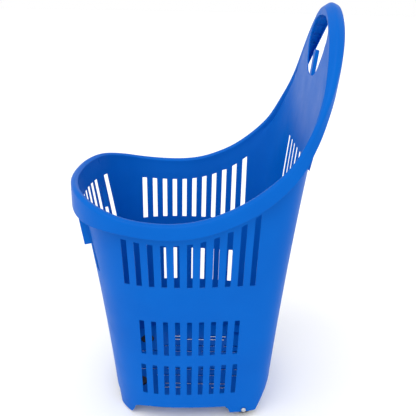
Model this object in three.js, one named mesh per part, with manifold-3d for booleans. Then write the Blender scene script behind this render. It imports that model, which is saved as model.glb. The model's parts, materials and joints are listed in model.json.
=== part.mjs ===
// A tall one-piece moulded shopping trolley basket on two swivel castors and two fixed rear wheels.
// Millimetres, +Z up, the ground at Z = 0. X is the width, the front faces -Y and the handle is at +Y.
import * as THREE from "three";
import { mergeVertices } from "three/addons/utils/BufferGeometryUtils.js";
import Module from "manifold-3d";

const wasm = await Module();
wasm.setup();

// ---- driving dimensions ----
const WALL = 2.2; // moulded wall
const REF_Z = 356; // level that the plan outline is drawn at
const WIDEST_Y = -44.5; // the side walls are widest here
const REF_HALF_WIDTH = 195;
const REF_FRONT = 231;
const REF_REAR = 191.5;
const COLUMNS = 60; // steps round the basket
const LEVELS = 2; // steps up each wall
const FLOOR_TOP = 46;
const FLOOR_UNDER = 43;
const SKIRT_BOTTOM = 4; // lowest point of the front feet

// Half of the plan at REF_Z with the height of the rim there, from the front centre to the rear centre.
const HALF_OUTLINE = [
  [0, -231, 536],
  [70, -223, 537],
  [125, -204, 533],
  [163, -172, 521],
  [184, -130, 508],
  [192.5, -88, 502],
  [195, -44.5, 501],
  [193.5, 0, 507],
  [189.5, 42, 522],
  [184, 84, 545],
  [179, 122.5, 578],
  [172.5, 153.5, 617],
  [156.5, 175.5, 678],
  [132, 187.5, 733],
  [108, 190.8, 777],
  [82, 191.8, 817],
  [50, 191.9, 855],
  [22, 191.5, 877],
  [0, 191.5, 884],
];

const RIM = {
  over: 18,
  lip: 25,
  crown: 3,
  frontOver: -5,
  frontLip: 20,
  rearOver: -7,
  rearLip: -8,
  handleOver: 17.5,
  handleLip: -7,
  handleCrown: 5,
};
const LENGTH_SHIFT = -1.15; // brings the middle of the overall length to Y = 0
const GRIP_OPENING = [
  [0, 868],
  [33, 866],
  [62, 857],
  [80, 841],
  [86, 824],
  [80, 803],
  [68, 785],
  [55, 768],
  [38, 755],
  [15, 750],
];
const TONGUE = { half: 8, top: 801 };

const SIDE_SLOTS = [
  { count: 11, pitch: 25.1, width: 11.1, low: 356, fan: 0.00018, belowRim: 47 },
  { count: 9, pitch: 24.2, width: 10.4, low: 182.4, high: 270.5, fan: 0.00025 },
  { count: 9, pitch: 24.2, width: 10.4, low: 73.6, high: 154, fan: 0.00025 },
];
const SIDE_SLOT_CENTRE = -12;
const FRONT_SLOTS = { count: 11, pitch: 24.3, width: 16, low: 356, belowRim: 45 };
const GUSSET_SLOT = { x: 97.2, top: 467 }; // the slot that stops short beside a gusset's root
const REAR_SLOTS = { count: 7, pitch: 37, width: 19, low: 430, high: 598 };
const END_LOWER_ROWS = {
  front: [[182.4, 270.5], [80, 154]],
  rear: [[182.4, 270.5], [100, 154]],
};
const END_LOWER = { count: 7, pitch: 24.2, width: 10.4 };

const REAR_WHEEL = { x: 128.5, y: 111, radius: 23.5, halfWidth: 8, bore: 3.4, hubRadius: 15.5 };
const AXLE_RADIUS = 3;
const CASTOR = { x: 86, y: -129, trail: 14, radius: 15, halfWidth: 5.5, hubRadius: 9.5 };
const STEM_RADIUS = 4;

// ---- materials ----
const BLUE = new THREE.MeshStandardMaterial({ color: 0x0f6bc8, roughness: 0.42, metalness: 0 });
const BLACK = new THREE.MeshStandardMaterial({ color: 0x17181a, roughness: 0.55, metalness: 0 });
const RUBBER = new THREE.MeshStandardMaterial({ color: 0x4b4d50, roughness: 0.8, metalness: 0 });
const STEEL = new THREE.MeshStandardMaterial({ color: 0xb9bcc0, roughness: 0.3, metalness: 1 });
const NYLON = new THREE.MeshStandardMaterial({ color: 0xe6e4dc, roughness: 0.5, metalness: 0 });

// ---- solids ----
function solid(geometry) {
  const plain = geometry.clone();
  for (const name of ["normal", "uv"]) plain.deleteAttribute(name);
  const merged = mergeVertices(plain, 1e-3);
  return new wasm.Manifold(
    new wasm.Mesh({
      numProp: 3,
      vertProperties: new Float32Array(merged.attributes.position.array),
      triVerts: new Uint32Array(merged.index.array),
    }),
  );
}

function geometryOf(body) {
  const mesh = body.getMesh();
  const geometry = new THREE.BufferGeometry();
  geometry.setAttribute("position", new THREE.BufferAttribute(mesh.vertProperties, 3));
  geometry.setIndex(new THREE.BufferAttribute(mesh.triVerts, 1));
  return geometry;
}

function box(x0, x1, y0, y1, z0, z1) {
  const geometry = new THREE.BoxGeometry(x1 - x0, y1 - y0, z1 - z0);
  return solid(geometry.translate((x0 + x1) / 2, (y0 + y1) / 2, (z0 + z1) / 2));
}

// An outline in the Y-Z plane, pushed along X from x0 to x1.
function prismX(outline, x0, x1) {
  const shape = new THREE.Shape(outline.map(([y, z]) => new THREE.Vector2(y, z)));
  const geometry = new THREE.ExtrudeGeometry(shape, { depth: x1 - x0, bevelEnabled: false });
  geometry.rotateX(Math.PI / 2).rotateZ(Math.PI / 2);
  return solid(geometry.translate(x0, 0, 0));
}

// An outline in the X-Z plane, pushed along Y from y0 to y1.
function prismY(outline, y0, y1) {
  const shape = new THREE.Shape(outline.map(([x, z]) => new THREE.Vector2(x, z)));
  const geometry = new THREE.ExtrudeGeometry(shape, { depth: y1 - y0, bevelEnabled: false });
  return solid(geometry.rotateX(Math.PI / 2).translate(0, y1, 0));
}

// A profile of [radius, height] turned about Z, or about X when along is "x".
function turned(profile, segments, along = "z") {
  const points = [...profile, profile[0]].map(([r, h]) => new THREE.Vector2(r, h));
  const geometry = new THREE.LatheGeometry(points, segments).rotateX(Math.PI / 2);
  if (along === "x") geometry.rotateY(Math.PI / 2);
  return geometry;
}

function ring(inner, outer, low, high) {
  return [
    [inner, low],
    [outer, low],
    [outer, high],
    [inner, high],
  ];
}

function join(parts) {
  return parts.reduce((all, next) => all.add(next));
}

// A closed skin through rings of points; loop joins the last ring to the first, else fans cap the ends.
function skin(rings, loop = false) {
  const count = rings[0].length;
  const positions = rings.flat().flatMap((p) => [p.x, p.y, p.z]);
  const faces = [];
  const bands = loop ? rings.length : rings.length - 1;
  for (let i = 0; i < bands; i++) {
    for (let j = 0; j < count; j++) {
      const a = i * count + j;
      const b = i * count + ((j + 1) % count);
      const c = ((i + 1) % rings.length) * count + ((j + 1) % count);
      const d = ((i + 1) % rings.length) * count + j;
      faces.push(a, b, c, a, c, d);
    }
  }
  if (!loop) {
    for (const [at, flip] of [
      [0, true],
      [rings.length - 1, false],
    ]) {
      const centre = rings[at].reduce((sum, p) => sum.add(p), new THREE.Vector3());
      centre.divideScalar(count);
      const hub = positions.length / 3;
      positions.push(centre.x, centre.y, centre.z);
      for (let j = 0; j < count; j++) {
        const a = at * count + j;
        const b = at * count + ((j + 1) % count);
        faces.push(...(flip ? [b, a, hub] : [a, b, hub]));
      }
    }
  }
  const geometry = new THREE.BufferGeometry();
  geometry.setAttribute("position", new THREE.BufferAttribute(new Float32Array(positions), 3));
  geometry.setIndex(faces);
  return new wasm.Manifold(
    new wasm.Mesh({
      numProp: 3,
      vertProperties: geometry.attributes.position.array,
      triVerts: new Uint32Array(geometry.index.array),
    }),
  );
}

// ---- the basket's walls ----
const rise = (z) => z - REF_Z;
const halfWidth = (z) => REF_HALF_WIDTH + 0.134 * rise(z) + 0.000125 * rise(z) ** 2;
const frontReach = (z) => REF_FRONT + 0.135 * rise(z) + 0.000063 * rise(z) ** 2;
const rearReach = (z) => REF_REAR + 0.083 * rise(z) + 0.0000316 * rise(z) ** 2;

function planCurve() {
  const half = HALF_OUTLINE.map((p) => new THREE.Vector3(...p));
  const other = half.slice(1, -1).reverse();
  const mirrored = other.map((p) => new THREE.Vector3(-p.x, p.y, p.z));
  return new THREE.CatmullRomCurve3([...half, ...mirrored], true, "centripetal");
}

const plan = planCurve().getSpacedPoints(COLUMNS).slice(0, COLUMNS);

// The wall's outer surface at a column and a height, moved out by offset along its level normal.
function wallPoint(column, z, offset) {
  const at = (k) => {
    const p = plan[(k + COLUMNS) % COLUMNS];
    const rear = p.y > WIDEST_Y;
    const reach = rear ? rearReach(z) - WIDEST_Y : frontReach(z) + WIDEST_Y;
    const refReach = rear ? REF_REAR - WIDEST_Y : REF_FRONT + WIDEST_Y;
    const y = WIDEST_Y + ((p.y - WIDEST_Y) * reach) / refReach;
    return new THREE.Vector2((p.x * halfWidth(z)) / REF_HALF_WIDTH, y);
  };
  const along = at(column + 1).sub(at(column - 1)).normalize();
  const here = at(column);
  return new THREE.Vector3(here.x + along.y * offset, here.y - along.x * offset, z);
}

// The space inside an offset of the wall, from a level up to another level.
function wallFilled(offset, low, high) {
  return skin([low, high].map((z) => plan.map((_, column) => wallPoint(column, z, offset))));
}

const smooth = (low, high, value) => THREE.MathUtils.smoothstep(value, low, high);

// The rolled edge is a channel that opens downwards: [out from the wall, up from the crest].
function rimSection(over, lip, crown) {
  return [
    [0, -WALL - 1],
    [over * 0.45, crown - WALL],
    [over - 6, crown * 0.35 - WALL],
    [over - WALL, -8],
    [over - WALL, -lip],
    [over, -lip],
    [over - 1, -9],
    [over - 6, crown * 0.35],
    [over * 0.45, crown],
    [-WALL, 0],
  ];
}

// The wall and its rolled edge as one section that is carried round the plan.
function wallAndRim() {
  const crest = plan.map((p, column) => wallPoint(column, p.z, 0));
  const rings = crest.map((point, column) => {
    const next = crest[(column + 1) % COLUMNS];
    const last = crest[(column + COLUMNS - 1) % COLUMNS];
    const along = next.clone().sub(last).normalize();
    const out = new THREE.Vector3(along.y, -along.x, 0).normalize();
    const up = new THREE.Vector3().crossVectors(out, along).normalize();
    const front = 1 - smooth(-235, -120, point.y);
    const handle = smooth(670, 860, point.z);
    const rear = smooth(545, 640, point.z);
    const over = RIM.over + RIM.frontOver * front + RIM.rearOver * rear + RIM.handleOver * handle;
    const lip =
      RIM.lip +
      RIM.frontLip * front +
      RIM.rearLip * smooth(560, 660, point.z) +
      RIM.handleLip * handle;
    const heights = [];
    for (let i = 0; i < LEVELS; i++) heights.push(SKIRT_BOTTOM + ((point.z - SKIRT_BOTTOM) * i) / LEVELS);
    const outside = heights.map((z) => wallPoint(column, z, 0));
    const inside = heights.reverse().map((z) => wallPoint(column, z, -WALL));
    const crown = RIM.crown + RIM.handleCrown * handle;
    const rim = rimSection(over, lip, crown).map(([n, b]) =>
      point.clone().addScaledVector(out, n).addScaledVector(up, b),
    );
    return [...outside, ...rim, ...inside].reverse();
  });
  return skin(rings, true);
}

// The lower rear corner slopes up, so that the basket can tip back onto its rear wheels.
const TIP_SLOPE = [
  [139, 17],
  [164, 75],
];
function behindSlope(offset) {
  const [[y0, z0], [y1, z1]] = TIP_SLOPE;
  const length = Math.hypot(y1 - y0, z1 - z0);
  const dy = ((z1 - z0) * -offset) / length;
  const dz = ((y1 - y0) * offset) / length;
  const back = [
    [y0 - (y1 - y0) + dy, z0 - (z1 - z0) + dz],
    [y1 + (y1 - y0) + dy, z1 + (z1 - z0) + dz],
    [y1 + 200, z1 + (z1 - z0) + dz],
    [y1 + 200, z0 - (z1 - z0) + dz],
  ];
  return prismX(back, -260, 260);
}

// The floor and the sloping panel behind it, both run into the middle of the wall.
function floorAndSlope() {
  const inWall = wallFilled(-WALL / 2, SKIRT_BOTTOM, 120);
  const floor = inWall.intersect(box(-260, 260, -260, 260, FLOOR_UNDER, FLOOR_TOP));
  const slope = behindSlope(WALL).subtract(behindSlope(0)).intersect(inWall);
  return floor.subtract(behindSlope(WALL / 2)).add(slope);
}

// The skirt's lower edge seen from the side: deep front feet, an arched middle and long rear feet.
function sideArch() {
  const edge = [
    [-143, SKIRT_BOTTOM],
    [-137, 15],
    [-133, 27],
    [-124, 32],
    [-100, 37],
    [-60, 38],
    [0, 37.5],
    [69, 35],
    [76, 28],
    [80, 17],
    [260, 17],
  ];
  return prismX([...edge, [260, -20], [-143, -20]], -260, 260);
}

// The rear and front skirts stand clear of the ground between the corner feet.
function endArch(y0, y1, halfSpan, height) {
  const outline = [
    [-halfSpan - 8, -20],
    [halfSpan + 8, -20],
    [halfSpan, height],
    [-halfSpan, height],
  ];
  return prismY(outline, y0, y1);
}

// ---- openings in the walls ----
function rimOver(x, y) {
  const near = plan.reduce((best, p, column) => {
    const q = wallPoint(column, p.z, 0);
    const gap = Math.hypot(q.x - x, q.y - y);
    return gap < best.gap ? { gap, z: p.z } : best;
  }, { gap: Infinity, z: 0 });
  return near.z;
}

function sideSlots() {
  const cuts = [];
  for (const row of SIDE_SLOTS) {
    for (let i = 0; i < row.count; i++) {
      const step = (i - (row.count - 1) / 2) * row.pitch;
      const low = SIDE_SLOT_CENTRE + step;
      const guess = row.high ?? 460;
      const high = SIDE_SLOT_CENTRE + step * (1 + row.fan * (guess - row.low));
      const half = row.width / 2;
      const topAt = (y) => row.high ?? rimOver(halfWidth(REF_Z + 150), y) - row.belowRim;
      cuts.push(
        prismX(
          [
            [low - half, row.low],
            [low + half, row.low],
            [high + half, topAt(high + half)],
            [high - half, topAt(high - half)],
          ],
          -270,
          270,
        ),
      );
    }
  }
  return cuts;
}

function endSlots(row, y0, y1) {
  const cuts = [];
  for (let i = 0; i < row.count; i++) {
    const x = (i - (row.count - 1) / 2) * row.pitch;
    const half = row.width / 2;
    const underRim = rimOver(x, -250) - row.belowRim;
    const short = Math.abs(Math.abs(x) - GUSSET_SLOT.x) < 1;
    const high = row.high ?? (short ? GUSSET_SLOT.top : underRim);
    cuts.push(
      prismY(
        [
          [x - half, row.low],
          [x + half, row.low],
          [x + half * 1.05, high],
          [x - half * 1.05, high],
        ],
        y0,
        y1,
      ),
    );
  }
  return cuts;
}

function gripOpening() {
  const left = GRIP_OPENING.slice(1).reverse().map(([x, z]) => [-x, z]);
  const outline = [...left, ...GRIP_OPENING];
  const hole = prismY(outline.reverse(), 200, 262);
  const tongue = box(-TONGUE.half, TONGUE.half, 190, 280, 740, TONGUE.top);
  return hole.subtract(tongue);
}

function floorSlots() {
  const rows = [
    { x: 104, half: 3.5, spans: [[-70, -28], [38, 78]] },
    { x: 90, half: 3.5, spans: [[-70, -10], [4, 74]] },
    { x: 60, half: 2.5, spans: [[-92, -28], [-8, 56], [72, 118]] },
    { x: 36, half: 2.5, spans: [[-150, -92], [-70, -6], [14, 78], [94, 128]] },
    { x: 12, half: 2.5, spans: [[-150, -92], [-70, -6], [14, 78], [94, 128]] },
  ];
  const cuts = [];
  for (const { x, half, spans } of rows) {
    for (const [y0, y1] of spans) {
      for (const side of [-1, 1]) {
        const middle = side * x;
        cuts.push(box(middle - half, middle + half, y0, y1, FLOOR_UNDER - 5, FLOOR_TOP + 5));
      }
    }
  }
  return cuts;
}

// ---- plates, bosses and arches that belong to the moulding ----
// A thin plate on the outside of an end wall, tucked up under the rolled rim.
function gusset(x, front, low, foot, reach) {
  const wallY = (z) => {
    const columns = plan.map((p, column) => wallPoint(column, z, -WALL / 2));
    const sameSide = columns.filter((p) => (front ? p.y < WIDEST_Y : p.y > WIDEST_Y));
    const sorted = sameSide.sort((a, b) => Math.abs(a.x - x) - Math.abs(b.x - x));
    return sorted[0].y;
  };
  const top = rimOver(x, front ? -250 : 240) - 6;
  const out = front ? -1 : 1;
  const outline = [
    [wallY(low), low],
    [wallY(low) + out * foot, low - 3],
    [wallY(low + 60) + out * reach, low + 60],
    [wallY(top) + out * reach, top],
    [wallY(top), top],
  ];
  return prismX(front ? outline.reverse() : outline, x - 1.4, x + 1.4);
}

function wheelArches() {
  const adds = [];
  const cuts = [];
  const { y } = REAR_WHEEL;
  for (const side of [-1, 1]) {
    const span = (a, b) => (side > 0 ? [a, b] : [-b, -a]);
    adds.push(box(...span(114, 147), y - 30, y + 30, FLOOR_UNDER, 54));
    adds.push(box(...span(114, 117), y - 13, y + 13, 15, FLOOR_UNDER + 1));
    cuts.push(box(...span(117, 140.5), y - 25.5, y + 25.5, -5, 51));
  }
  return { adds, cuts };
}

function axleBores() {
  const bore = turned(ring(0, AXLE_RADIUS + 0.3, -160, 160), 20, "x");
  return solid(bore.translate(0, REAR_WHEEL.y, REAR_WHEEL.radius));
}

function underRibs() {
  const ribs = [];
  for (const x of [-48, 0, 48]) ribs.push(box(x - 1.2, x + 1.2, -178, 142, 39.5, FLOOR_UNDER + 1));
  for (const y of [-82, 4, 84]) ribs.push(box(-150, 150, y - 1.2, y + 1.2, 39.5, FLOOR_UNDER + 1));
  return ribs;
}

function castorBosses() {
  return [-1, 1].map((side) => {
    const boss = turned(ring(0, 14, 37.5, FLOOR_TOP), 28);
    return solid(boss.translate(side * CASTOR.x, CASTOR.y, 0));
  });
}

function castorBores() {
  return [-1, 1].map((side) => {
    const bore = turned(ring(0, STEM_RADIUS + 0.3, 30, 60), 20);
    return solid(bore.translate(side * CASTOR.x, CASTOR.y, 0));
  });
}

function basketBody() {
  const arches = wheelArches();
  const plates = [
    ...[-109.4, 109.4].map((x) => gusset(x, true, 412, 14, 16)),
    ...[-165, 165].map((x) => gusset(x, false, 597, 4, 8)),
  ];
  const openings = join([
    ...sideSlots(),
    ...endSlots(FRONT_SLOTS, -290, -150),
    ...endSlots(REAR_SLOTS, 120, 300),
    ...END_LOWER_ROWS.front.flatMap(([low, high]) => endSlots({ ...END_LOWER, low, high }, -290, -150)),
    ...END_LOWER_ROWS.rear.flatMap(([low, high]) => endSlots({ ...END_LOWER, low, high }, 140, 300)),
    gripOpening(),
  ]);
  const inWall = wallFilled(-1, SKIRT_BOTTOM, 60).subtract(behindSlope(1));
  const fittings = join([...arches.adds, ...underRibs(), ...castorBosses()]).intersect(inWall);
  return wallAndRim()
    .subtract(openings)
    .subtract(behindSlope(0))
    .add(floorAndSlope().subtract(join(floorSlots())))
    .add(fittings)
    .add(join(plates))
    .subtract(join(arches.cuts))
    .subtract(sideArch())
    .subtract(endArch(-260, -150, 98, 36))
    .subtract(axleBores())
    .subtract(join(castorBores()));
}

// ---- the object ----
const trolley = new THREE.Group();
trolley.position.y = LENGTH_SHIFT;

function place(name, geometry, material, x, y, z, parent = trolley) {
  const mesh = new THREE.Mesh(geometry, material);
  mesh.name = name;
  mesh.position.set(x, y, z);
  parent.add(mesh);
}

place("basket", geometryOf(basketBody()), BLUE, 0, 0, 0);

// Profiles are [radius, distance along the axle], drawn for the +X side and turned round for the other.
function tyreProfile(inner, outer, half, round) {
  return [
    [inner, -half],
    [outer - round, -half],
    [outer - round * 0.3, -half + round * 0.3],
    [outer, -half + round],
    [outer, half - round],
    [outer - round * 0.3, half - round * 0.3],
    [outer - round, half],
    [inner, half],
  ];
}

function rearWheel(name, side) {
  const wheel = new THREE.Group();
  wheel.position.set(side * REAR_WHEEL.x, REAR_WHEEL.y, REAR_WHEEL.radius);
  if (side < 0) wheel.rotation.z = Math.PI;
  trolley.add(wheel);
  const { radius, halfWidth: half, bore, hubRadius } = REAR_WHEEL;
  const hub = [
    [bore, -9.5],
    [7, -9.5],
    [7.5, -5],
    [hubRadius - 3, -4],
    [hubRadius - 2.5, -half],
    [hubRadius, -half],
    [hubRadius, half],
    [hubRadius - 2.5, half],
    [hubRadius - 3, 4],
    [7.5, 5],
    [7, 9.5],
    [bore, 9.5],
  ];
  const tyre = tyreProfile(hubRadius + 0.3, radius, half, 3);
  place(name + "_wheel_tyre", turned(tyre, 32, "x"), RUBBER, 0, 0, 0, wheel);
  place(name + "_wheel_hub", turned(hub, 24, "x"), BLACK, 0, 0, 0, wheel);
  const pin = [
    [0, -20.5],
    [AXLE_RADIUS - 0.5, -20.5],
    [AXLE_RADIUS, -19.9],
    [AXLE_RADIUS, 23.3],
    [5.5, 23.3],
    [5.3, 24.5],
    [4.2, 25.9],
    [2.4, 26.7],
    [0, 27],
  ];
  place(name + "_axle_pin", turned(pin, 16, "x"), STEEL, 0, 0, 0, wheel);
  const washer = ring(AXLE_RADIUS + 0.3, 6.5, -11.2, -9.9);
  const nut = ring(AXLE_RADIUS + 0.3, 6.2, -16.4, -14.9);
  place(name + "_thrust_washer", turned(washer, 24, "x"), NYLON, 0, 0, 0, wheel);
  place(name + "_push_nut", turned(nut, 24, "x"), STEEL, 0, 0, 0, wheel);
}

// The fork's cheek seen from the side, with its round end about the wheel's axle.
function forkCheek(x0, x1) {
  const shape = new THREE.Shape();
  shape.moveTo(-11, 33.8);
  shape.lineTo(-9, 29.5);
  shape.lineTo(CASTOR.trail - 6.5, 13);
  shape.absarc(CASTOR.trail, CASTOR.radius, 6, Math.PI, 2 * Math.PI, false);
  shape.lineTo(CASTOR.trail + 4, 29);
  shape.lineTo(11, 33.8);
  const outline = shape.getPoints(5).map((p) => [p.x, p.y]);
  return prismX(outline, x0, x1);
}

function forkBody() {
  const plate = solid(turned(ring(0, 13.5, 31.4, 34), 24));
  const cheeks = [forkCheek(-9.2, -6.4), forkCheek(6.4, 9.2)];
  const stemBore = solid(turned(ring(0, STEM_RADIUS + 0.3, 20, 40), 20));
  const axleBore = solid(turned(ring(0, 2.3, -20, 20), 16, "x").translate(0, CASTOR.trail, CASTOR.radius));
  return join([plate, ...cheeks]).subtract(stemBore).subtract(axleBore);
}

function castor(name, side) {
  const unit = new THREE.Group();
  unit.position.set(side * CASTOR.x, CASTOR.y, 0);
  trolley.add(unit);
  const cap = [
    [0, 48.6],
    [STEM_RADIUS + 0.6, 48.6],
    [STEM_RADIUS + 0.6, 46.3],
    [17, 46.3],
    [17, 48.2],
    [15.6, 49.6],
    [7, 50.6],
    [0, 50.8],
  ];
  const stem = [
    [0, 28],
    [4.8, 28],
    [6, 29],
    [6, 31.1],
    [STEM_RADIUS, 31.1],
    [STEM_RADIUS, 47.6],
    [STEM_RADIUS - 0.8, 48.3],
    [0, 48.3],
  ];
  place(name + "_castor_cap", turned(cap, 24), BLACK, 0, 0, 0, unit);
  place(name + "_castor_stem", turned(stem, 16), STEEL, 0, 0, 0, unit);
  place(name + "_swivel_race", turned(ring(STEM_RADIUS + 0.3, 12, 34.3, 37.2), 24), STEEL, 0, 0, 0, unit);
  place(name + "_castor_fork", geometryOf(forkBody()), BLACK, 0, 0, 0, unit);
  const wheel = new THREE.Group();
  wheel.position.set(0, CASTOR.trail, CASTOR.radius);
  unit.add(wheel);
  const { radius, halfWidth: half, hubRadius } = CASTOR;
  const hub = [
    [2.4, -6],
    [4.5, -6],
    [5, -3.6],
    [hubRadius - 2, -3.2],
    [hubRadius - 1.6, -half],
    [hubRadius, -half],
    [hubRadius, half],
    [hubRadius - 1.6, half],
    [hubRadius - 2, 3.2],
    [5, 3.6],
    [4.5, 6],
    [2.4, 6],
  ];
  const pin = [
    [0, -11],
    [2.9, -11],
    [3.6, -10.2],
    [3.6, -9.5],
    [2, -9.5],
    [2, 9.5],
    [3.6, 9.5],
    [3.6, 10.2],
    [2.9, 11],
    [0, 11],
  ];
  const tyre = tyreProfile(hubRadius + 0.3, radius, half, 2);
  place(name + "_castor_tyre", turned(tyre, 28, "x"), RUBBER, 0, 0, 0, wheel);
  place(name + "_castor_hub", turned(hub, 20, "x"), BLACK, 0, 0, 0, wheel);
  place(name + "_castor_axle", turned(pin, 16, "x"), STEEL, 0, 0, 0, wheel);
}

for (const [name, side] of [["right", 1], ["left", -1]]) {
  castor(name, side);
  rearWheel(name, side);
}

export default trolley;
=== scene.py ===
import json
import math
import bmesh
import bpy
from mathutils import Matrix, Vector
from mathutils.geometry import interpolate_bezier


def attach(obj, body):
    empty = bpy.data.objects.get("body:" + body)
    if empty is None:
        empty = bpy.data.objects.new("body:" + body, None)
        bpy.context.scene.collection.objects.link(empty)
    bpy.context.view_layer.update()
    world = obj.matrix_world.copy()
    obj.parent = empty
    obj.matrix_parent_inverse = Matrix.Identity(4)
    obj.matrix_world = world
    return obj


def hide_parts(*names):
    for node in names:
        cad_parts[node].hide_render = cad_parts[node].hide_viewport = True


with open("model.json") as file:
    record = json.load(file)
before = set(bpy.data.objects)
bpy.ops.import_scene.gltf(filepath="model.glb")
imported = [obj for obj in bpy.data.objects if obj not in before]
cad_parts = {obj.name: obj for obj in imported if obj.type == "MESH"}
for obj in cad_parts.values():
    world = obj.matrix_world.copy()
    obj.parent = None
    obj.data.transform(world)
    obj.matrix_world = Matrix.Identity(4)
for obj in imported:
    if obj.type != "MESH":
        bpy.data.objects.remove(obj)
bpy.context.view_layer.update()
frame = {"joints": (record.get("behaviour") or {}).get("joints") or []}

# Everything below is drawn in millimetres and scaled once, when a piece is finished.
mm = 0.001
joints = {j["name"]: Vector(j["pos_m"]) / mm for j in frame["joints"]}
rearAxle = joints["right_rear_roll"]
castorPost = joints["right_castor_swivel"]
castorAxle = joints["right_castor_roll"]
widestY = rearAxle.y - 155.5  # the side walls are widest this far ahead of the rear axle


def srgb(code):
    # a hex colour as linear light
    parts = [int(code[i:i + 2], 16) / 255 for i in (1, 3, 5)]
    linear = [c / 12.92 if c <= 0.04045 else ((c + 0.055) / 1.055) ** 2.4 for c in parts]
    return (*linear, 1.0)


def smoothStep(low, high, value):
    t = min(max((value - low) / (high - low), 0.0), 1.0)
    return t * t * (3 - 2 * t)


def newObject(bm, name):
    mesh = bpy.data.meshes.new(name)
    bm.to_mesh(mesh)
    bm.free()
    obj = bpy.data.objects.new(name, mesh)
    bpy.context.scene.collection.objects.link(obj)
    return obj


def combine(target, tool, operation):
    # cuts or joins with a tool body, which is used up
    step = target.modifiers.new("combine", "BOOLEAN")
    step.operation = operation
    step.solver = "MANIFOLD"
    step.object = tool
    graph = bpy.context.evaluated_depsgraph_get()
    result = bpy.data.meshes.new_from_object(target.evaluated_get(graph))
    target.modifiers.remove(step)
    old = target.data
    target.data = result
    bpy.data.meshes.remove(old)
    bpy.data.objects.remove(tool)
    if not result.polygons:
        raise RuntimeError("nothing is left of " + target.name)


def finishPiece(obj, material, body, nodes, sharpDegrees=32):
    obj.data.transform(Matrix.Scale(mm, 4))
    obj.data.materials.clear()
    obj.data.materials.append(material)
    obj.data.shade_smooth()
    obj.data.set_sharp_from_angle(angle=math.radians(sharpDegrees))
    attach(obj, body)
    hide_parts(*nodes)
    return obj


def boxBody(x0, x1, y0, y1, z0, z1, name="box"):
    bm = bmesh.new()
    size = Matrix.Diagonal((x1 - x0, y1 - y0, z1 - z0, 1))
    middle = Matrix.Translation(((x0 + x1) / 2, (y0 + y1) / 2, (z0 + z1) / 2))
    bmesh.ops.create_cube(bm, size=1, matrix=middle @ size)
    return newObject(bm, name)


def addPrism(bm, outline, direction, start, end, corner=0.0):
    # an outline pushed along X (outline is Y, Z) or along Y (outline is X, Z), with rounded corners
    along = Vector((1, 0, 0)) if direction == "x" else Vector((0, 1, 0))
    if direction == "x":
        points = [Vector((start, a, b)) for a, b in outline]
    else:
        points = [Vector((a, start, b)) for a, b in outline]
    earlier = set(bm.faces)
    verts = [bm.verts.new(p) for p in points]
    bm.faces.new(verts)
    if corner:
        bmesh.ops.bevel(bm, geom=verts, offset=corner, segments=4, profile=0.5, material=-1, affect="VERTICES",
                        clamp_overlap=True)
    face = next(f for f in bm.faces if f not in earlier)  # the bevel puts a new face in the old one's place
    grown = bmesh.ops.extrude_face_region(bm, geom=[face], use_keep_orig=True)
    moved = [v for v in grown["geom"] if isinstance(v, bmesh.types.BMVert)]
    bmesh.ops.translate(bm, verts=moved, vec=along * (end - start))


def prismBody(outline, direction, start, end, corner=0.0, name="prism"):
    bm = bmesh.new()
    addPrism(bm, outline, direction, start, end, corner)
    bmesh.ops.recalc_face_normals(bm, faces=bm.faces)
    return newObject(bm, name)


def cylinderBody(radius, low, high, centre, along="z", steps=48, name="cylinder"):
    bm = bmesh.new()
    bmesh.ops.create_cone(bm, cap_ends=True, segments=steps, radius1=radius, radius2=radius, depth=high - low,
                          matrix=Matrix.Translation((0, 0, (low + high) / 2)))
    if along == "x":
        bmesh.ops.rotate(bm, verts=bm.verts, cent=(0, 0, 0), matrix=Matrix.Rotation(math.radians(90), 3, "Y"))
    bmesh.ops.translate(bm, verts=bm.verts, vec=centre)
    return newObject(bm, name)


def addNode(tree, kind, settings, links):
    # adds a node, sets its properties and sockets, and links its inputs from other nodes
    item = tree.nodes.new(kind)
    for key, value in settings.items():
        if key in item.inputs:
            item.inputs[key].default_value = value
        else:
            setattr(item, key, value)
    for socket, (source, output) in links.items():
        tree.links.new(source.outputs[output], item.inputs[socket])
    return item


def newMaterial(name, look):
    # one surface: two near colours mixed over patches, a fine grain, and wear in the gloss
    material = bpy.data.materials.new(name)
    material.use_nodes = True
    tree = material.node_tree
    tree.nodes.clear()
    place = addNode(tree, "ShaderNodeTexCoord", {}, {})
    patches = addNode(tree, "ShaderNodeTexNoise",
                      {"Scale": 1 / (look["patchMm"] * mm), "Detail": 3.0, "Roughness": 0.55},
                      {"Vector": (place, "Object")})
    colour = addNode(tree, "ShaderNodeValToRGB", {}, {"Fac": (patches, "Fac")})
    for mark, at, code in zip(colour.color_ramp.elements, (0.3, 0.7), look["colours"]):
        mark.position, mark.color = at, srgb(code)
    wear = addNode(tree, "ShaderNodeTexNoise",
                   {"Scale": 1 / (look["wearMm"] * mm), "Detail": 5.0, "Roughness": 0.6},
                   {"Vector": (place, "Object")})
    gloss = addNode(tree, "ShaderNodeMapRange",
                    {"From Min": 0.3, "From Max": 0.7, "To Min": look["roughness"][0],
                     "To Max": look["roughness"][1]},
                    {"Value": (wear, "Fac")})
    grain = addNode(tree, "ShaderNodeTexNoise",
                    {"Scale": 1 / (look["grainMm"] * mm), "Detail": 2.0, "Roughness": 0.5},
                    {"Vector": (place, "Object")})
    bump = addNode(tree, "ShaderNodeBump", {"Strength": look["bump"], "Distance": look["bumpMm"] * mm},
                   {"Height": (grain, "Fac")})
    shader = addNode(tree, "ShaderNodeBsdfPrincipled",
                     {"IOR": look["ior"], "Metallic": look["metallic"],
                      "Specular IOR Level": look["specular"]},
                     {"Base Color": (colour, "Color"), "Roughness": (gloss, "Result"),
                      "Normal": (bump, "Normal")})
    addNode(tree, "ShaderNodeOutputMaterial", {}, {"Surface": (shader, "BSDF")})
    return material


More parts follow.
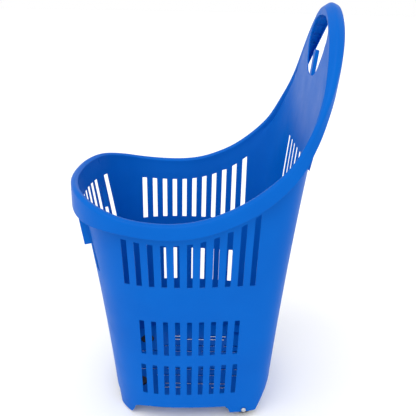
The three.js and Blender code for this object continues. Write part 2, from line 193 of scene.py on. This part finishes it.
# Injection-moulded polypropylene: deep clean blue, satin, its eroded grain drawn coarser than life.
bluePolypropylene = newMaterial("mouldedPolypropyleneBlue", {
    "colours": ["#005bb9", "#0061c0"], "patchMm": 160, "wearMm": 45, "roughness": (0.34, 0.44),
    "grainMm": 1.4, "bump": 0.16, "bumpMm": 0.12, "ior": 1.49, "metallic": 0.0, "specular": 0.06})
# Moulded nylon with a fine grain: nearly black, dull.
blackNylon = newMaterial("mouldedNylonBlack", {
    "colours": ["#17181a", "#222427"], "patchMm": 9, "wearMm": 4, "roughness": (0.45, 0.62),
    "grainMm": 0.6, "bump": 0.25, "bumpMm": 0.06, "ior": 1.53, "metallic": 0.0, "specular": 0.35})
# Thermoplastic rubber tread: dark grey, matt, scuffed in small patches.
greyRubber = newMaterial("treadRubberGrey", {
    "colours": ["#3f4144", "#55575b"], "patchMm": 6, "wearMm": 3, "roughness": (0.7, 0.88),
    "grainMm": 0.8, "bump": 0.35, "bumpMm": 0.1, "ior": 1.52, "metallic": 0.0, "specular": 0.35})
# Bright zinc-plated steel: pale, with faint mottling from the plating bath.
zincSteel = newMaterial("platedZincSteel", {
    "colours": ["#b4b7ba", "#cfd1d3"], "patchMm": 3, "wearMm": 2, "roughness": (0.22, 0.4),
    "grainMm": 0.5, "bump": 0.12, "bumpMm": 0.03, "ior": 1.5, "metallic": 1.0, "specular": 0.5})
# Natural nylon washer: off-white and waxy.
whiteNylon = newMaterial("turnedNylonNatural", {
    "colours": ["#dcd9ce", "#ece9df"], "patchMm": 5, "wearMm": 3, "roughness": (0.4, 0.52),
    "grainMm": 0.6, "bump": 0.1, "bumpMm": 0.04, "ior": 1.53, "metallic": 0.0, "specular": 0.35})
print("materials made")


# Half outline at the reference level, from the front centre to the rear centre:
# half width, distance behind the widest line, height of the rim above the ground.
basketShape = {
    "wall": 2.2,
    "refLevel": 356,
    "halfWidth": 195,
    "front": 186.5,
    "rear": 236.0,
    "columns": 288,
    "levels": 30,
    "skirt": 4,
    "outline": [
        (0, -186.5, 536), (70, -178.5, 537), (125, -159.5, 533), (163, -127.5, 521), (184, -85.5, 508),
        (192.5, -43.5, 502), (195, 0, 501), (193.5, 44.5, 507), (189.5, 86.5, 522), (184, 128.5, 545),
        (179, 167, 578), (172.5, 198, 617), (156.5, 220, 678), (132, 232, 733), (108, 235.3, 777),
        (82, 236.3, 817), (50, 236.4, 855), (22, 236, 877), (0, 236, 884)],
}
rimShape = {"over": 18, "lip": 25, "crown": 3, "frontOver": -5, "frontLip": 20, "rearOver": -7,
            "rearLip": -8, "handleOver": 17.5, "handleLip": -7, "handleCrown": 5, "shoulder": 8.5}
wallThickness = basketShape["wall"]


def halfWidthAt(z):
    rise = z - basketShape["refLevel"]
    return basketShape["halfWidth"] + 0.134 * rise + 0.000125 * rise ** 2


def frontReachAt(z):
    rise = z - basketShape["refLevel"]
    return basketShape["front"] + 0.135 * rise + 0.000063 * rise ** 2


def rearReachAt(z):
    rise = z - basketShape["refLevel"]
    return basketShape["rear"] + 0.083 * rise + 0.0000316 * rise ** 2


def centripetalSpline(knots, stepsEach):
    # a closed smooth line through the knots
    count = len(knots)
    line = []
    for i in range(count):
        p0, p1, p2, p3 = (knots[(i + k) % count] for k in (-1, 0, 1, 2))
        d1, d2, d3 = (math.sqrt((b - a).length) for a, b in ((p0, p1), (p1, p2), (p2, p3)))
        m1 = p2 - p1 + d2 * ((p1 - p0) / d1 - (p2 - p0) / (d1 + d2))
        m2 = p2 - p1 + d2 * ((p3 - p2) / d3 - (p3 - p1) / (d2 + d3))
        line += interpolate_bezier(p1, p1 + m1 / 3, p2 - m2 / 3, p2, stepsEach)[:-1]
    return line


def evenlySpaced(line, count):
    # the closed line again, cut into equal lengths
    lengths = [(line[(i + 1) % len(line)] - p).length for i, p in enumerate(line)]
    total = sum(lengths)
    spaced, at, done = [], 0, 0.0
    for k in range(count):
        want = total * k / count
        while done + lengths[at] < want:
            done += lengths[at]
            at += 1
        spaced.append(line[at].lerp(line[(at + 1) % len(line)], (want - done) / lengths[at]))
    return spaced


def planOutline():
    half = [Vector(p) for p in basketShape["outline"]]
    other = [Vector((-p.x, p.y, p.z)) for p in reversed(half[1:-1])]
    line = evenlySpaced(centripetalSpline(half + other, 24), basketShape["columns"])
    for _ in range(6):
        line = [(line[i - 1] + p * 2 + line[(i + 1) % len(line)]) / 4 for i, p in enumerate(line)]
    return line


plan = planOutline()
columns = len(plan)


def planAt(column, z):
    p = plan[column % columns]
    reach = rearReachAt(z) / basketShape["rear"] if p.y > 0 else frontReachAt(z) / basketShape["front"]
    return Vector((p.x * halfWidthAt(z) / basketShape["halfWidth"], widestY + p.y * reach, z))


def wallPoint(column, z, offset):
    # the wall's outer face, moved outwards by the offset
    along = planAt(column + 1, z) - planAt(column - 1, z)
    out = Vector((along.y, -along.x, 0)).normalized()
    return planAt(column, z) + out * offset


def crestPoint(column):
    return planAt(column, plan[column % columns].z)


def crestFrame(column):
    along = (crestPoint(column + 1) - crestPoint(column - 1)).normalized()
    out = Vector((along.y, -along.x, 0)).normalized()
    return crestPoint(column), out, out.cross(along).normalized(), along


def rimAmounts(column):
    # overhang, lip depth and crown of the rolled edge at a column
    point = crestPoint(column)
    front = 1 - smoothStep(widestY - 190.5, widestY - 75.5, point.y)
    handle = smoothStep(670, 860, point.z)
    over = rimShape["over"] + rimShape["frontOver"] * front + rimShape["handleOver"] * handle
    over += rimShape["rearOver"] * smoothStep(545, 640, point.z)
    lip = rimShape["lip"] + rimShape["frontLip"] * front + rimShape["handleLip"] * handle
    lip += rimShape["rearLip"] * smoothStep(560, 660, point.z)
    return over, lip, rimShape["crown"] + rimShape["handleCrown"] * handle


def roundedLine(corners, steps=5):
    # an open line with each inner corner turned by its own radius
    line = [Vector((*corners[0][0], 0))]
    for i in range(1, len(corners) - 1):
        here = Vector((*corners[i][0], 0))
        back = Vector((*corners[i - 1][0], 0)) - here
        ahead = Vector((*corners[i + 1][0], 0)) - here
        turn = math.pi - back.angle(ahead)
        reach = min(corners[i][1] * math.tan(turn / 2), back.length * 0.45, ahead.length * 0.45)
        start, end = here + back.normalized() * reach, here + ahead.normalized() * reach
        pull = min(0.55 + 0.1 * turn, 0.66)
        line += interpolate_bezier(start, start.lerp(here, pull), end.lerp(here, pull), end, steps)
    return line + [Vector((*corners[-1][0], 0))]


def rimProfile(column):
    over, lip, crown = rimAmounts(column)
    t = wallThickness
    return roundedLine([
        ((0, -9), 0), ((0, -t - 1), 1.5), ((over * 0.45, crown - t), 8), ((over - t, crown * 0.2 - t), 5),
        ((over - t, -lip), 1), ((over, -lip), 1), ((over - 0.5, crown * 0.35), rimShape["shoulder"]),
        ((over * 0.45, crown + 1.8), 9), ((-t, 0.2), 3.2), ((-t, -9), 0)])


def buildWall():
    # a tube-like sheet whose one direction runs round the plan and the other up, over and down the wall
    profiles = []
    for column in range(columns):
        point, out, up, _ = crestFrame(column)
        rim = [point + out * p.x + up * p.y for p in rimProfile(column)]
        outside, inside = [], []
        for level in range(basketShape["levels"]):
            share = level / basketShape["levels"]
            low, high = basketShape["skirt"], rim[0].z
            z = low + (high - low) * share
            outside.append(wallPoint(column, z, 0))
            inside.append(wallPoint(column, low + (rim[-1].z - low) * share, -wallThickness))
        profiles.append(outside + rim + inside[::-1])
    around = len(profiles[0])
    bm = bmesh.new()
    bmesh.ops.create_grid(bm, x_segments=columns, y_segments=around, size=1)
    for v in bm.verts:
        column = round((v.co.x + 1) / 2 * columns)
        row = round((v.co.y + 1) / 2 * around)
        v.co = profiles[column % columns][row % around]
    bmesh.ops.remove_doubles(bm, verts=bm.verts, dist=1e-4)
    bmesh.ops.recalc_face_normals(bm, faces=bm.faces)
    return newObject(bm, "moulded_basket")


def insideWall(offset, low, high, levels=8):
    # the room inside an offset of the wall, between two heights
    bm = bmesh.new()
    bmesh.ops.create_grid(bm, x_segments=columns, y_segments=levels, size=1)
    for v in bm.verts:
        column = round((v.co.x + 1) / 2 * columns)
        v.co = wallPoint(column % columns, low + (high - low) * (v.co.y + 1) / 2, offset)
    bmesh.ops.remove_doubles(bm, verts=bm.verts, dist=1e-4)
    bmesh.ops.holes_fill(bm, edges=[e for e in bm.edges if e.is_boundary], sides=0)
    bmesh.ops.recalc_face_normals(bm, faces=bm.faces)
    return newObject(bm, "inside_wall")


basket = buildWall()
print("wall and rolled rim made", len(basket.data.polygons))

slotShape = {
    "corner": 1.3,
    "sideCentre": 32.5,  # behind the widest line
    "side": [
        {"count": 11, "pitch": 25.1, "width": 11.1, "low": 356, "high": None, "fan": 0.00018, "underRim": 47},
        {"count": 9, "pitch": 24.2, "width": 10.4, "low": 182.4, "high": 270.5, "fan": 0.00025},
        {"count": 9, "pitch": 24.2, "width": 10.4, "low": 73.6, "high": 154, "fan": 0.00025}],
    "front": {"count": 11, "pitch": 24.3, "width": 16, "low": 356, "underRim": 45, "gussetX": 97.2,
              "gussetTop": 467},
    "rear": {"count": 7, "pitch": 37, "width": 19, "low": 430, "high": 598},
    "ends": {"count": 7, "pitch": 24.2, "width": 10.4, "frontRows": [(182.4, 270.5), (80, 154)],
             "rearRows": [(182.4, 270.5), (100, 154)]},
}


def crestAbove(x, y):
    # height of the rim nearest to a point of the plan
    nearest = min(range(columns), key=lambda c: (crestPoint(c).xy - Vector((x, y))).length)
    return plan[nearest].z


def sideSlotCutters():
    bm = bmesh.new()
    middle = widestY + slotShape["sideCentre"]
    outer = halfWidthAt(basketShape["refLevel"] + 150)
    for row in slotShape["side"]:
        for i in range(row["count"]):
            step = (i - (row["count"] - 1) / 2) * row["pitch"]
            half = row["width"] / 2
            high = middle + step * (1 + row["fan"] * ((row["high"] or 460) - row["low"]))
            tops = [row["high"] or crestAbove(outer, high + s * half) - row["underRim"] for s in (1, -1)]
            outline = [(middle + step - half, row["low"]), (middle + step + half, row["low"]),
                       (high + half, tops[0]), (high - half, tops[1])]
            addPrism(bm, outline, "x", -270, 270, slotShape["corner"])
    bmesh.ops.recalc_face_normals(bm, faces=bm.faces)
    return newObject(bm, "side_slots")


def endSlotCutters(row, spans, y0, y1):
    bm = bmesh.new()
    for low, high in spans:
        for i in range(row["count"]):
            x = (i - (row["count"] - 1) / 2) * row["pitch"]
            half = row["width"] / 2
            top = high or crestAbove(x, widestY - 205) - row["underRim"]
            if not high and abs(abs(x) - row["gussetX"]) < 1:
                top = row["gussetTop"]
            outline = [(x - half, low), (x + half, low), (x + half * 1.05, top), (x - half * 1.05, top)]
            addPrism(bm, outline, "y", y0, y1, slotShape["corner"])
    bmesh.ops.recalc_face_normals(bm, faces=bm.faces)
    return newObject(bm, "end_slots")


# Half outline of the hand opening, from the top centre: half width, height.
gripShape = {
    "outline": [(0, 868), (33, 866), (62, 857), (80, 841), (86, 824), (80, 803), (68, 785), (55, 768),
                (38, 755), (15, 750)],
    "tongueHalf": 8, "tongueTop": 801, "tongueDepth": 7,
}


def gripCutter():
    half = gripShape["outline"]
    outline = [(-x, z) for x, z in reversed(half[1:])] + half
    hole = prismBody(outline, "y", 200, 266, 7, "grip_hole")
    width, top = gripShape["tongueHalf"], gripShape["tongueTop"]
    tongue = prismBody([(-width, 730), (width, 730), (width, top), (-width, top)], "y", 190, 290, 6.5)
    combine(hole, tongue, "DIFFERENCE")
    return hole


lowerEdge = {
    # the skirt seen from the side: distance behind the widest line, height
    "side": [(-98.5, 4), (-92.5, 15), (-88.5, 27), (-79.5, 32), (-55.5, 37), (-15.5, 38), (44.5, 37.5),
             (113.5, 35), (120.5, 28), (124.5, 17), (304.5, 17)],
    "frontHalfSpan": 98, "frontHeight": 36,
    "slope": [(183.5, 17), (208.5, 75)],  # the lower rear corner, cut back so the basket can be tipped
}


def slopePrism(offset):
    (y0, z0), (y1, z1) = lowerEdge["slope"]
    y0, y1 = y0 + widestY, y1 + widestY
    length = math.hypot(y1 - y0, z1 - z0)
    dy, dz = (z1 - z0) * -offset / length, (y1 - y0) * offset / length
    outline = [(y0 - (y1 - y0) + dy, z0 - (z1 - z0) + dz), (y1 + (y1 - y0) + dy, z1 + (z1 - z0) + dz),
               (y1 + 200, z1 + (z1 - z0) + dz), (y1 + 200, z0 - (z1 - z0) + dz)]
    return prismBody(outline, "x", -262, 262, 0, "slope")


combine(basket, sideSlotCutters(), "DIFFERENCE")
front, rear, ends = slotShape["front"], slotShape["rear"], slotShape["ends"]
for row, spans, y0, y1 in (
        (front, [(front["low"], None)], -290, -150), (rear, [(rear["low"], rear["high"])], 150, 300),
        (ends, ends["frontRows"], -290, -150), (ends, ends["rearRows"], 142, 300)):
    combine(basket, endSlotCutters(row, spans, y0, y1), "DIFFERENCE")
combine(basket, gripCutter(), "DIFFERENCE")
combine(basket, slopePrism(0), "DIFFERENCE")
print("slots and openings cut", len(basket.data.polygons))

floorShape = {
    "top": 46, "under": 43, "ribDepth": 3.5,
    # each row: half width, distance from the middle, spans along Y
    "slots": [
        (3.5, 104, [(-70, -28), (38, 78)]), (3.5, 90, [(-70, -10), (4, 74)]),
        (2.5, 60, [(-92, -28), (-8, 56), (72, 118)]), (2.5, 36, [(-150, -92), (-70, -6), (14, 78), (94, 128)]),
        (2.5, 12, [(-150, -92), (-70, -6), (14, 78), (94, 128)])],
}


def floorSlotCutters():
    # spans are measured along Y from the middle of the trolley's length
    bm = bmesh.new()
    shift = rearAxle.y - 111
    for half, x, spans in floorShape["slots"]:
        for y0, y1 in spans:
            for side in (-1, 1):
                size = Matrix.Diagonal((half * 2, y1 - y0, 16, 1))
                middle = Matrix.Translation((side * x, (y0 + y1) / 2 + shift, floorShape["top"] - 2))
                bmesh.ops.create_cube(bm, size=1, matrix=middle @ size)
    return newObject(bm, "floor_slots")


def buildFloor():
    top, under = floorShape["top"], floorShape["under"]
    floor = insideWall(-wallThickness / 2, basketShape["skirt"], 120)
    slope = newObject(bmesh.new(), "slope_panel")
    slope.data = floor.data.copy()
    combine(floor, boxBody(-262, 262, -262, 262, under, top), "INTERSECT")
    combine(floor, slopePrism(wallThickness / 2), "DIFFERENCE")
    panel = slopePrism(wallThickness)
    combine(panel, slopePrism(0), "DIFFERENCE")
    combine(slope, panel, "INTERSECT")
    combine(floor, slope, "UNION")
    combine(floor, floorSlotCutters(), "DIFFERENCE")
    return floor


def buildFittings():
    # everything under the floor: arches over the wheels, stiffening ribs and bosses for the castors
    top, under, y = floorShape["top"], floorShape["under"], rearAxle.y
    low = under - floorShape["ribDepth"]
    shift = y - 111
    body = boxBody(-1.2, 1.2, -178 + shift, 142 + shift, low, under + 1)
    parts = [boxBody(x - 1.2, x + 1.2, -178 + shift, 142 + shift, low, under + 1) for x in (-48, 48)]
    parts += [boxBody(-150, 150, v + shift - 1.2, v + shift + 1.2, low, under + 1) for v in (-82, 4, 84)]
    for side in (-1, 1):
        near, far = sorted((side * (rearAxle.x - 14.5), side * (rearAxle.x + 18.5)))
        parts.append(boxBody(near, far, y - 30, y + 30, under, 54))
        near, far = sorted((side * (rearAxle.x - 14.5), side * (rearAxle.x - 11.5)))
        parts.append(boxBody(near, far, y - 13, y + 13, 15, under + 1))
        parts.append(cylinderBody(14, 37.5, top, (side * castorPost.x, castorPost.y, 0)))
    for part in parts:
        combine(body, part, "UNION")
    trimmed = insideWall(-1, basketShape["skirt"], 60, 4)
    combine(trimmed, slopePrism(1), "DIFFERENCE")
    combine(body, trimmed, "INTERSECT")
    return body


# Each plate: distance from the middle, its lower end, how far it stands out there and higher up.
gussetShape = {
    "front": {"x": 109.4, "low": 412, "foot": 14, "reach": 16},
    "rear": {"x": 165, "low": 597, "foot": 4, "reach": 8},
}


def gussetBody(x, front, low, foot, reach):
    # a thin plate on the outside of an end wall, tucked up under the rolled rim
    def wallY(z):
        near = [wallPoint(c, z, -wallThickness / 2) for c in range(columns) if (plan[c].y < 0) == front]
        return min(near, key=lambda p: abs(p.x - x)).y
    out = -1 if front else 1
    top = crestAbove(x, widestY - 205 if front else widestY + 284.5) - 5
    outline = [(wallY(low), low), (wallY(low) + out * foot, low - 3), (wallY(low + 60) + out * reach, low + 60),
               (wallY(top) + out * reach, top), (wallY(top), top)]
    return prismBody(outline, "x", x - 1.4, x + 1.4, 0, "gusset")


def tongueRib():
    # a thin web behind the tongue, so it is stiff enough to hook a hand on
    depth, half = gripShape["tongueDepth"], gripShape["tongueHalf"] - 0.2
    low, high = 748, gripShape["tongueTop"] - 1
    y0, y1 = (widestY + rearReachAt(z) - 1 for z in (low, high))
    outline = [(y0, low), (y1, high), (y1 + depth, high), (y0 + depth, low)]
    return prismBody(outline, "x", -half, half, 2, "tongue")


def channelRib(column):
    # a thin web across the handle's hollow underside
    point, out, up, along = crestFrame(column)
    over, lip, crown = rimAmounts(column)
    bm = bmesh.new()
    size = Matrix.Diagonal((over - 1, 1.4, lip - 9, 1))
    axes = Matrix((out, along, up)).transposed().to_4x4()
    middle = Matrix.Translation(point + out * (over - 2) / 2 - up * ((lip - 9) / 2 + 1))
    bmesh.ops.create_cube(bm, size=1, matrix=middle @ axes @ size)
    return newObject(bm, "channel_rib")


combine(basket, buildFloor(), "UNION")
combine(basket, buildFittings(), "UNION")
for isFront, shape in ((True, gussetShape["front"]), (False, gussetShape["rear"])):
    for side in (-1, 1):
        plate = gussetBody(side * shape["x"], isFront, shape["low"], shape["foot"], shape["reach"])
        combine(basket, plate, "UNION")
combine(basket, tongueRib(), "UNION")
handleColumns = [c for c in range(columns) if plan[c].z > 790]
for column in handleColumns[2::4]:
    combine(basket, channelRib(column), "UNION")
for side in (-1, 1):
    near, far = sorted((side * (rearAxle.x - 11.5), side * (rearAxle.x + 12)))
    combine(basket, boxBody(near, far, rearAxle.y - 25.5, rearAxle.y + 25.5, -5, 51), "DIFFERENCE")
    post = (side * castorPost.x, castorPost.y, 0)
    combine(basket, cylinderBody(4.3, 30, 60, post), "DIFFERENCE")
sideEdge = [(y + widestY, z) for y, z in lowerEdge["side"]]
combine(basket, prismBody([*sideEdge, (sideEdge[-1][0], -20), (sideEdge[0][0], -20)], "x", -262, 262),
        "DIFFERENCE")
span, height = lowerEdge["frontHalfSpan"], lowerEdge["frontHeight"]
frontEdge = [(-span - 8, -20), (span + 8, -20), (span, height), (-span, height)]
combine(basket, prismBody(frontEdge, "y", -262, -150), "DIFFERENCE")
combine(basket, cylinderBody(3.3, -160, 160, (0, rearAxle.y, rearAxle.z), "x"), "DIFFERENCE")
finishPiece(basket, bluePolypropylene, "basket_frame", ["basket"])
print("basket finished", len(basket.data.polygons))


def turnedPiece(name, profile, centre, along, material, body, soften=0.35):
    # a profile of radius and height spun about its own axis, then placed
    bm = bmesh.new()
    verts = [bm.verts.new((r, 0, h)) for r, h in profile]
    edges = [bm.edges.new(pair) for pair in zip(verts, verts[1:])]
    if profile[0][0] > 0:
        edges.append(bm.edges.new((verts[-1], verts[0])))
    bmesh.ops.spin(bm, geom=verts + edges, cent=(0, 0, 0), axis=(0, 0, 1), dvec=(0, 0, 0), angle=math.tau,
                   steps=64, use_merge=True)
    bmesh.ops.remove_doubles(bm, verts=bm.verts, dist=1e-4)
    bmesh.ops.recalc_face_normals(bm, faces=bm.faces)
    if along == "x" or along == "-x":
        turn = 90 if along == "x" else -90
        bmesh.ops.rotate(bm, verts=bm.verts, cent=(0, 0, 0), matrix=Matrix.Rotation(math.radians(turn), 3, "Y"))
    bmesh.ops.translate(bm, verts=bm.verts, vec=centre)
    piece = finishPiece(newObject(bm, name + "_fine"), material, body, [name], 50)
    rounding = piece.modifiers.new("softened edges", "BEVEL")
    rounding.width = soften * mm
    rounding.segments = 3
    rounding.limit_method = "ANGLE"
    rounding.angle_limit = math.radians(30)
    return piece


def ringProfile(inner, outer, low, high):
    return [(inner, low), (outer, low), (outer, high), (inner, high)]


def treadProfile(inner, outer, half, corner, grooves):
    # a tyre whose tread has shallow round grooves
    points = [(inner, -half), (outer - corner, -half), (outer - corner * 0.3, -half + corner * 0.3),
              (outer, -half + corner)]
    for centre in grooves:
        points += [(outer, centre - 0.8), (outer - 0.7, centre - 0.4), (outer - 0.7, centre + 0.4),
                   (outer, centre + 0.8)]
    points += [(outer, half - corner), (outer - corner * 0.3, half - corner * 0.3), (outer - corner, half),
               (inner, half)]
    return points


wheelShape = {
    "rear": {"radius": 23.5, "half": 8, "bore": 3.4, "hub": 15.5, "axle": 3},
    "castor": {"radius": 15, "half": 5.5, "hub": 9.5, "stem": 4},
}


def buildRearWheel(side, sideName):
    s = wheelShape["rear"]
    centre = (side * rearAxle.x, rearAxle.y, rearAxle.z)
    along = "x" if side > 0 else "-x"
    hub, half, bore, axle = s["hub"], s["half"], s["bore"], s["axle"]
    roller, body = sideName + "_rear_roller", "basket_frame"
    tread = treadProfile(hub + 0.3, s["radius"], half, 3, (-3, 0, 3))
    turnedPiece(sideName + "_wheel_tyre", tread, centre, along, greyRubber, roller, 0.25)
    turnedPiece(sideName + "_wheel_hub", [
        (bore, -9.5), (7, -9.5), (7.5, -5), (hub - 3, -4), (hub - 2.5, -half), (hub, -half), (hub, half),
        (hub - 2.5, half), (hub - 3, 4), (7.5, 5), (7, 9.5), (bore, 9.5)], centre, along, blackNylon, roller)
    turnedPiece(sideName + "_axle_pin", [
        (0, -20.5), (axle - 0.5, -20.5), (axle, -19.9), (axle, 23.3), (5.5, 23.3), (5.3, 24.5), (4.2, 25.9),
        (2.4, 26.7), (0, 27)], centre, along, zincSteel, body, 0.2)
    washer = ringProfile(axle + 0.3, 6.5, -11.2, -9.9)
    turnedPiece(sideName + "_thrust_washer", washer, centre, along, whiteNylon, body, 0.2)
    nut = ringProfile(axle + 0.3, 6.2, -16.4, -14.9)
    turnedPiece(sideName + "_push_nut", nut, centre, along, zincSteel, body, 0.3)


def buildFork(side, sideName):
    # two cheeks under a round top plate, bored for the stem and the wheel's axle
    post, trail, radius = castorPost, castorAxle.y - castorPost.y, wheelShape["castor"]["radius"]
    foot = [(trail + 6 * math.cos(a), radius + 6 * math.sin(a))
            for a in (math.radians(180 + 180 * i / 12) for i in range(13))]
    outline = [(-11, 33.8), (-9, 29.5), *foot, (trail + 4, 29), (11, 33.8)]
    fork = cylinderBody(13.5, 31.4, 34, (0, 0, 0))
    for x0, x1 in ((-9.2, -6.4), (6.4, 9.2)):
        combine(fork, prismBody(outline, "x", x0, x1), "UNION")
    combine(fork, cylinderBody(wheelShape["castor"]["stem"] + 0.3, 20, 40, (0, 0, 0)), "DIFFERENCE")
    combine(fork, cylinderBody(2.3, -20, 20, (0, trail, radius), "x"), "DIFFERENCE")
    fork.data.transform(Matrix.Translation((side * post.x, post.y, 0)))
    fork.name = sideName + "_castor_fork_fine"
    finishPiece(fork, blackNylon, sideName + "_castor_yoke", [sideName + "_castor_fork"], 40)


def buildCastor(side, sideName):
    s = wheelShape["castor"]
    stem, hub, half = s["stem"], s["hub"], s["half"]
    post = (side * castorPost.x, castorPost.y, 0)
    wheel = (side * castorAxle.x, castorAxle.y, castorAxle.z)
    roller, yoke, body = sideName + "_castor_roller", sideName + "_castor_yoke", "basket_frame"
    turnedPiece(sideName + "_castor_cap", [
        (0, 48.6), (stem + 0.6, 48.6), (stem + 0.6, 46.3), (17, 46.3), (17, 48.2), (15.6, 49.6), (7, 50.6),
        (0, 50.8)], post, "z", blackNylon, body)
    turnedPiece(sideName + "_castor_stem", [
        (0, 28), (4.8, 28), (6, 29), (6, 31.1), (stem, 31.1), (stem, 47.6), (stem - 0.8, 48.3), (0, 48.3)],
        post, "z", zincSteel, body, 0.2)
    turnedPiece(sideName + "_swivel_race", ringProfile(stem + 0.3, 12, 34.3, 37.2), post, "z", zincSteel, body,
                0.5)
    buildFork(side, sideName)
    turnedPiece(sideName + "_castor_tyre", treadProfile(hub + 0.3, s["radius"], half, 2, (0,)), wheel, "x",
                greyRubber, roller, 0.2)
    turnedPiece(sideName + "_castor_hub", [
        (2.4, -6), (4.5, -6), (5, -3.6), (hub - 2, -3.2), (hub - 1.6, -half), (hub, -half), (hub, half),
        (hub - 1.6, half), (hub - 2, 3.2), (5, 3.6), (4.5, 6), (2.4, 6)], wheel, "x", blackNylon, roller,
        0.25)
    turnedPiece(sideName + "_castor_axle", [
        (0, -11), (2.9, -11), (3.6, -10.2), (3.6, -9.5), (2, -9.5), (2, 9.5), (3.6, 9.5), (3.6, 10.2),
        (2.9, 11), (0, 11)], wheel, "x", zincSteel, yoke, 0.15)


for side, sideName in ((1, "right"), (-1, "left")):
    buildRearWheel(side, sideName)
    buildCastor(side, sideName)
print("wheels and castors made")

# Soft light from above and the right. A light is its direction, strength and spread in degrees.
studio = {
    "floorColour": "#fbfbfb", "worldColour": "#ffffff", "worldStrength": 1.0,
    "key": ((-0.5, 0.35, -1.0), 0.9, 50),
    "fill": ((-1.0, -0.2, -0.5), 0.25, 60),
}


def buildStudio():
    bm = bmesh.new()
    bmesh.ops.create_circle(bm, cap_ends=True, segments=96, radius=40)
    ground = newObject(bm, "studio_floor")
    paint = bpy.data.materials.new("paintedFloorPale")
    paint.use_nodes = True
    shader = paint.node_tree.nodes["Principled BSDF"]
    shader.inputs["Base Color"].default_value = srgb(studio["floorColour"])
    shader.inputs["Roughness"].default_value = 0.9
    ground.data.materials.append(paint)
    world = bpy.data.worlds.new("studio")
    world.use_nodes = True
    backdrop = world.node_tree.nodes["Background"]
    backdrop.inputs["Color"].default_value = srgb(studio["worldColour"])
    backdrop.inputs["Strength"].default_value = studio["worldStrength"]
    bpy.context.scene.world = world


def addLight(name, direction, strength, spread):
    # a wide soft light that falls along a direction
    lamp = bpy.data.lights.new(name, "SUN")
    lamp.energy = strength
    lamp.angle = math.radians(spread)
    obj = bpy.data.objects.new(name, lamp)
    obj.rotation_euler = Vector(direction).to_track_quat("-Z", "Y").to_euler()
    bpy.context.scene.collection.objects.link(obj)


viewpoint = {
    "place": (1155.4, 56.1, 890.7),  # right of the trolley, behind the widest line, above the ground
    "down": 20.737, "aside": 0.548, "roll": 1.209, "lens": 47.6, "sensor": 36,
}


def addCamera():
    # from the right-hand side, a little above, turned slightly about its own axis
    down, aside, roll = (math.radians(viewpoint[key]) for key in ("down", "aside", "roll"))
    look = Vector((-math.cos(down) * math.cos(aside), math.cos(down) * math.sin(aside), -math.sin(down)))
    level = look.cross(Vector((0, 0, 1))).normalized()
    upright = level.cross(look)
    right = level * math.cos(roll) + upright * math.sin(roll)
    top = upright * math.cos(roll) - level * math.sin(roll)
    data = bpy.data.cameras.new("camera")
    data.sensor_width = viewpoint["sensor"]
    data.lens = viewpoint["lens"]
    camera = bpy.data.objects.new("camera", data)
    turn = Matrix((right, top, -look)).transposed().to_4x4()
    place = Vector(viewpoint["place"]) + Vector((0, widestY, 0))
    camera.matrix_world = Matrix.Translation(place * mm) @ turn
    bpy.context.scene.collection.objects.link(camera)
    bpy.context.scene.camera = camera


buildStudio()
addLight("key", *studio["key"])
addLight("fill", *studio["fill"])
addCamera()
bpy.context.scene.view_settings.view_transform = "Standard"
print("studio set")
